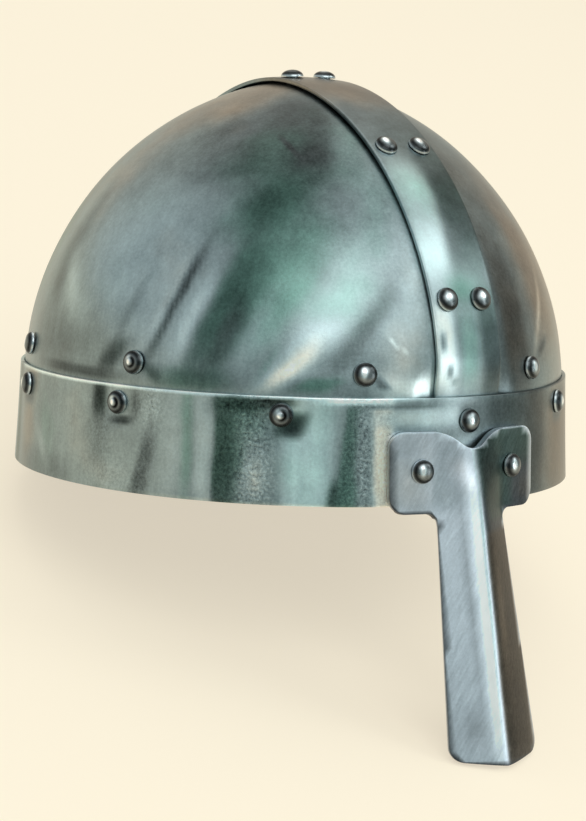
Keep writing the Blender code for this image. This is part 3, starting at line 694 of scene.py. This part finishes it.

# at is (millimetres across from the ridge, height in mm); the left flank and lug are pale with painted light
# and a painted highlight runs just left of the ridge, while the right flank and lug are dark with painted
# shade
nasalStainsAndPaintedLight = [
    dict(at=(-23, 12), size=(9, 14), tone=0.73, tint=0.25, edge=2.0),
    dict(at=(-26, 21), size=(5, 3), tone=0.66, tint=-0.1),
    dict(at=(-9, 14), size=(5, 8), tone=0.64, tint=0.3),
    dict(at=(-12, -40), size=(5, 60), tone=0.76, tint=0.0, edge=2.0),
    dict(at=(-7.6, -30), size=(1.5, 30), tone=0.66, tint=-0.1),
    dict(at=(-11, -77), size=(3.6, 6), tone=0.60, tint=0.0),
    dict(at=(-2.8, -37), size=((2.8, 2.4), 58), tone=1.0, tint=0.12, edge=2.4),
    dict(at=(-0.9, -30), size=(0.6, 60), tone=0.86, tint=-0.4, edge=2.0),
    dict(at=(7.9, -46), size=((7.4, 11), 50), tone=0.27, tint=0.75, edge=6.0),
    dict(at=(5, -38), size=(2.6, 18), tone=0.39, tint=0.9),
    dict(at=(17, 11), size=((16.2, 20), 19), tone=0.32, tint=-0.7, edge=5.0),
    dict(at=(27, 4), size=(6, 9), tone=0.33, tint=0.3, edge=1.4),
    dict(at=(5.5, 13), size=((4.6, 5.5), 14), tone=0.25, tint=-0.7, edge=2.0),
]
nasalPaint = dict(tone=0.70, middle=0.70, contrast=1.0, tint=0.0, grain=0.3, drift=0.35)
paintSteel(nasalGuard, nasalPaint, nasalStainsAndPaintedLight,
           lambda point: ((point.x - nasal["shift"]) * 1000, point.z * 1000))
toneLayer = nasalGuard.data.attributes["tone"].data
tintLayer = nasalGuard.data.attributes["tint"].data
for corner in nasalGuard.data.vertices:   # the edge line is a painted highlight above and right and painted shade below and left
    point = standUp @ corner.co
    flat = Vector((point.x - nasal["shift"], point.z))
    for start, end in zip(outline, outline[1:] + outline[:1]):
        run = end - start
        share = min(max((flat - start).dot(run) / run.length_squared, 0.0), 1.0)
        if (flat - start - run * share).length < nasal["edgeLightReach"]:
            outwards = Vector((-run.y, run.x)).normalized()
            lit = outwards.dot(Vector(nasal["edgeLightFrom"]))
            toneLayer[corner.index].value = nasal["edgeLightTone"] + nasal["edgeLightContrast"] * lit
            tintLayer[corner.index].value = nasal["edgeLightTint"]
finishPiece(nasalGuard, ["nasal"], nasalSteel)
print("nasal is bent")

# Rivets, spaced one by one
rivet = dict(
    head=0.0088, headHeight=0.0026, shank=0.0048, tail=0.0070, tailHeight=0.0012, segments=32, rings=28,
    domeFrom=0.0002, dimple=0.0003, dimpleAt=0.42, dimpleWidth=0.13)
rivetPaint = dict(   # painted shade and painted highlight on the heads; places are shares of the head's radius
    tone=0.42, tint=-0.1, grain=0.3, ringShade=0.26, ringAt=0.80, ringWidth=0.14,
    footHighlight=0.36, footAt=0.93, footRun=0.06,
    glintPale=0.75, glintAt=(-0.20, 0.12), glintSize=(0.26, 0.42), glintEdge=1.4,
    dimpleShade=0.40, dimpleAt=0.36, dimpleWidth=0.10)
browRivets = dict(
    height=0.0320, centreHeight=0.0298, nearCrest=3, ringed=(3, 4, 8),
    angles=(-142, -106, -73, -39, -0.5, 32, 69, 106, 143, 180))
linerRivets = dict(height=0.0468, angles=(-155, -109.5, -70, -23, 20, 67, 112, 157), ringed=(3, 6))
crestRivets = dict(climbs=(19.5, 52.3, 87, 127.7, 160.5), spacing=0.0155)
nasalRivets = dict(spacing=0.0408, height=0.0128)


def hump(value, at, width):
    return math.exp(-((value - at) / width) ** 2)


def seatOn(surface, first, second, step=1e-4):
    here = surface(first, second)
    normal = (surface(first + step, second) - here).cross(surface(first, second + step) - here).normalized()
    if normal.dot(here - Vector((0.0, 0.0, helmet["browHeight"]))) < 0.0:
        normal.negate()
    return Matrix.Translation(here) @ normal.to_track_quat("Z", "Y").to_matrix().to_4x4()


def skullAt(angle, height):
    length, width, rise = skullAxes(0.0)
    lift = (height - helmet["springHeight"]) / rise
    reach = (1.0 - lift ** helmet["risePower"]) ** (1 / helmet["roundPower"])
    turn = math.radians(angle)
    return Vector((width * reach * math.sin(turn), -length * reach * math.cos(turn), height))


def rivetTone(spot, ringed):   # a dome painted dark, with painted shade in a ring and in the dimple, a painted highlight spot and a thin foot of painted highlight
    paint = rivetPaint
    out = math.hypot(*spot)
    tone = paint["tone"] - paint["ringShade"] * hump(out, paint["ringAt"], paint["ringWidth"])
    tone += paint["footHighlight"] * (1.0 - fall(out, paint["footAt"], paint["footRun"]))
    glint = 0.0
    for value, at, size in zip(spot, paint["glintAt"], paint["glintSize"]):
        glint += ((value - at) / size) ** 2
    tone += paint["glintPale"] * math.exp(-glint ** paint["glintEdge"])
    if ringed:
        tone -= paint["dimpleShade"] * hump(out, paint["dimpleAt"], paint["dimpleWidth"])
    return tone


def rivetModel(depth, ringed):
    deselectAll()
    bpy.ops.mesh.primitive_uv_sphere_add(
        segments=rivet["segments"], ring_count=rivet["rings"], radius=rivet["head"] / 2)
    model = bpy.context.object
    bpy.ops.object.mode_set(mode="EDIT")
    bpy.ops.mesh.select_all(action="SELECT")
    bpy.ops.mesh.bisect(
        plane_co=(0, 0, 0), plane_no=(0, 0, 1), use_fill=True, clear_inner=True, threshold=0.00001)
    bpy.ops.mesh.select_all(action="SELECT")
    flatten = rivet["headHeight"] / (rivet["head"] / 2)
    bpy.ops.transform.resize(value=(1.0, 1.0, flatten), center_override=(0, 0, 0))
    bpy.ops.mesh.select_mode(type="FACE")
    bpy.ops.mesh.select_all(action="DESELECT")
    bpy.ops.object.mode_set(mode="OBJECT")
    for face in model.data.polygons:
        face.select = face.normal.z < -0.9   # the flat cut face
    bpy.ops.object.mode_set(mode="EDIT")
    bpy.ops.mesh.inset(thickness=(rivet["head"] - rivet["shank"]) / 2)
    bpy.ops.mesh.extrude_region_move(TRANSFORM_OT_translate={"value": (0, 0, -depth - 2 * helmet["gap"])})
    bpy.ops.mesh.extrude_region_move(TRANSFORM_OT_translate={"value": (0, 0, 0)})
    wide = rivet["tail"] / rivet["shank"]
    bpy.ops.transform.resize(value=(wide, wide, 1.0))
    bpy.ops.mesh.extrude_region_move(TRANSFORM_OT_translate={"value": (0, 0, -rivet["tailHeight"])})
    bpy.ops.object.mode_set(mode="OBJECT")
    tones = []
    for corner in model.data.vertices:
        spot = (corner.co.x / (rivet["head"] / 2), corner.co.y / (rivet["head"] / 2))
        if ringed and corner.co.z > rivet["domeFrom"]:
            corner.co.z -= rivet["dimple"] * hump(math.hypot(*spot), rivet["dimpleAt"], rivet["dimpleWidth"])
        tones.append(rivetTone(spot, ringed))
    bpy.ops.object.shade_smooth_by_angle(angle=math.radians(shop["smoothAngle"]))
    tints, grains = [rivetPaint["tint"]] * len(tones), [rivetPaint["grain"]] * len(tones)
    giveLayers(model, tones, tints, grains)
    model.data.transform(Matrix.Translation((0.0, 0.0, helmet["gap"])))
    return model


rivetPlan = []   # node, seat, depth of the sheets it holds, ringed
for number, angle in enumerate(browRivets["angles"], 1):
    atFront = abs(angle) < browRivets["nearCrest"]
    height = browRivets["centreHeight"] if atFront else browRivets["height"]
    depth = helmet["browSheet"] + helmet["skullSheet"] + 2 * helmet["gap"]
    if atFront or abs(angle) > 180 - browRivets["nearCrest"]:   # these two go through the crest band too
        depth += crest["sheet"] + helmet["gap"]
    seat = seatOn(browPoint, angle, height)
    rivetPlan.append((f"brow_rivet_{number:02d}", seat, depth, number in browRivets["ringed"]))
for number, angle in enumerate(linerRivets["angles"], 1):
    seat = seatOn(skullAt, angle, linerRivets["height"])
    ringed = number in linerRivets["ringed"]
    rivetPlan.append((f"liner_rivet_{number:02d}", seat, helmet["skullSheet"], ringed))
number = 0
for climb in crestRivets["climbs"]:
    for side in (-1, 1):
        number += 1
        across = side * crestRivets["spacing"] / 2
        seat = seatOn(lambda along, x: crestPoint(along, x, crest["sheet"]), climb, across)
        depth = crest["sheet"] + helmet["skullSheet"] + 3 * helmet["gap"]
        rivetPlan.append((f"crest_rivet_{number:02d}", seat, depth, False))
for name, side in (("nasal_rivet_right", -1), ("nasal_rivet_left", 1)):
    seat = seatOn(nasalPlace, side * nasalRivets["spacing"] / 2, nasalRivets["height"])
    depth = nasal["sheet"] + helmet["browSheet"] + helmet["skullSheet"] + 3 * helmet["gap"]
    rivetPlan.append((name, seat, depth, False))
rivetModels = {}
for name, seat, depth, ringed in rivetPlan:
    kind = (depth, ringed)
    if kind not in rivetModels:
        rivetModels[kind] = rivetModel(depth, ringed)
    piece = rivetModels[kind].copy()
    piece.data = rivetModels[kind].data.copy()
    piece.name = piece.data.name = "head_" + name
    bpy.context.scene.collection.objects.link(piece)
    piece.data.transform(leanBack @ seat)
    finishPiece(piece, [name], rivetSteel)
for model in rivetModels.values():
    bpy.data.objects.remove(model)
print("rivets are set:", len(rivetPlan))

# Floor, light and camera
studio = dict(
    floorSize=60.0, floorColour=(0.395, 0.363, 0.286), floorGlow=(0.995, 0.892, 0.727), floorGlowPower=0.64,
    floorRoughness=0.85, floorSheen=0.1, dim=(0.36, 0.44, 0.43), glowCore=0.35,
    glows=[   # soft areas of the room: where they are, in degrees from the front and above the floor
        dict(turn=-130, rise=25, reach=75, colour=(0.56, 0.60, 0.60)),
        dict(turn=140, rise=15, reach=80, colour=(0.60, 0.55, 0.47)),
        dict(turn=0, rise=85, reach=50, colour=(0.62, 0.66, 0.65)),
    ],
    boxes=[
        dict(name="key", at=(-24, 54, 1.5), size=(1.3, 0.9), power=6.0, colour=(1.0, 1.0, 0.98)),
        dict(name="crestLight", at=(62, 45, 1.6), size=(0.6, 0.6), power=3.2, colour=(0.98, 1.0, 0.98)),
        dict(name="ridgeLight", at=(34, 12, 1.3), size=(0.22, 0.6), power=1.3, colour=(0.98, 1.0, 1.0)),
        dict(name="rear", at=(160, 55, 2.0), size=(1.4, 1.4), power=6.0, colour=(1.0, 0.97, 0.92)),
    ])   # at is (degrees from the front, degrees above the floor, metres away)
aim = Vector((0.0, 0.0, 0.09))


def towards(turn, rise):
    turn, rise = math.radians(turn), math.radians(rise)
    return Vector((math.sin(turn) * math.cos(rise), -math.cos(turn) * math.cos(rise), math.sin(rise)))


deselectAll()
bpy.ops.mesh.primitive_plane_add(size=studio["floorSize"])
floor = bpy.context.object
floor.name = "floor"
floorPaint = bpy.data.materials.new("floorPaint")
floorPaint.use_nodes = True
floorShader = floorPaint.node_tree.nodes["Principled BSDF"]
floorShader.inputs["Base Color"].default_value = (*studio["floorColour"], 1.0)
floorShader.inputs["Roughness"].default_value = studio["floorRoughness"]
floorShader.inputs["Specular IOR Level"].default_value = studio["floorSheen"]
floorShader.inputs["Emission Color"].default_value = (*studio["floorGlow"], 1.0)
floorShader.inputs["Emission Strength"].default_value = studio["floorGlowPower"]
floor.data.materials.append(floorPaint)

for box in studio["boxes"]:
    turn, rise, away = box["at"]
    direction = towards(turn, rise)
    lamp = bpy.data.lights.new(box["name"], "AREA")
    lamp.shape = "RECTANGLE"
    lamp.size, lamp.size_y = box["size"]
    lamp.energy = box["power"]
    lamp.color = box["colour"]
    holder = bpy.data.objects.new(box["name"], lamp)
    holder.location = aim + direction * away
    holder.rotation_euler = (-direction).to_track_quat("-Z", "Y").to_euler()
    bpy.context.scene.collection.objects.link(holder)

world = bpy.data.worlds.new("studioAir")
bpy.context.scene.world = world
world.use_nodes = True
air = world.node_tree
skyWhere = air.nodes.new("ShaderNodeTexCoord")
mixed = None
for glow in studio["glows"]:
    along = air.nodes.new("ShaderNodeVectorMath")
    along.operation = "DOT_PRODUCT"
    along.inputs[1].default_value = towards(glow["turn"], glow["rise"])
    air.links.new(skyWhere.outputs["Generated"], along.inputs[0])
    shape = air.nodes.new("ShaderNodeMapRange")
    shape.interpolation_type = "SMOOTHSTEP"
    shape.inputs["From Min"].default_value = math.cos(math.radians(glow["reach"]))
    shape.inputs["From Max"].default_value = math.cos(math.radians(glow["reach"] * studio["glowCore"]))
    air.links.new(along.outputs["Value"], shape.inputs["Value"])
    blend = air.nodes.new("ShaderNodeMix")
    blend.data_type = "RGBA"
    colours = [socket for socket in blend.inputs if socket.type == "RGBA"]
    if mixed is None:
        colours[0].default_value = (*studio["dim"], 1.0)
    else:
        air.links.new(mixed, colours[0])
    colours[1].default_value = (*glow["colour"], 1.0)
    air.links.new(shape.outputs["Result"], blend.inputs[0])
    mixed = [socket for socket in blend.outputs if socket.type == "RGBA"][0]
backdrop = air.nodes["Background"]
air.links.new(mixed, backdrop.inputs["Color"])

# The camera is placed round the upright helmet, then leaned back with it
view = dict(
    turn=-36.2067, rise=7.1381, roll=1.8394, away=0.943864, aside=0.000877, lift=0.020211,
    lens=103.994, sensor=36.0)
turn, roll = math.radians(view["turn"]), math.radians(view["roll"])
back = towards(view["turn"], view["rise"])
right = Vector((math.cos(turn), math.sin(turn), 0.0))
up = back.cross(right)
rolledRight = math.cos(roll) * right + math.sin(roll) * up
rolledUp = math.cos(roll) * up - math.sin(roll) * right
lensData = bpy.data.cameras.new("camera")
lensData.lens = view["lens"]
lensData.sensor_width = view["sensor"]
lensData.sensor_fit = "AUTO"
camera = bpy.data.objects.new("camera", lensData)
stand = Matrix((rolledRight, rolledUp, back)).transposed().to_4x4()
stand.translation = back * view["away"] + right * view["aside"] + Vector((0.0, 0.0, view["lift"]))
camera.matrix_world = leanBack @ stand
bpy.context.scene.collection.objects.link(camera)
bpy.context.scene.camera = camera
bpy.context.scene.view_settings.view_transform = "Standard"
print("floor, light and camera stand")
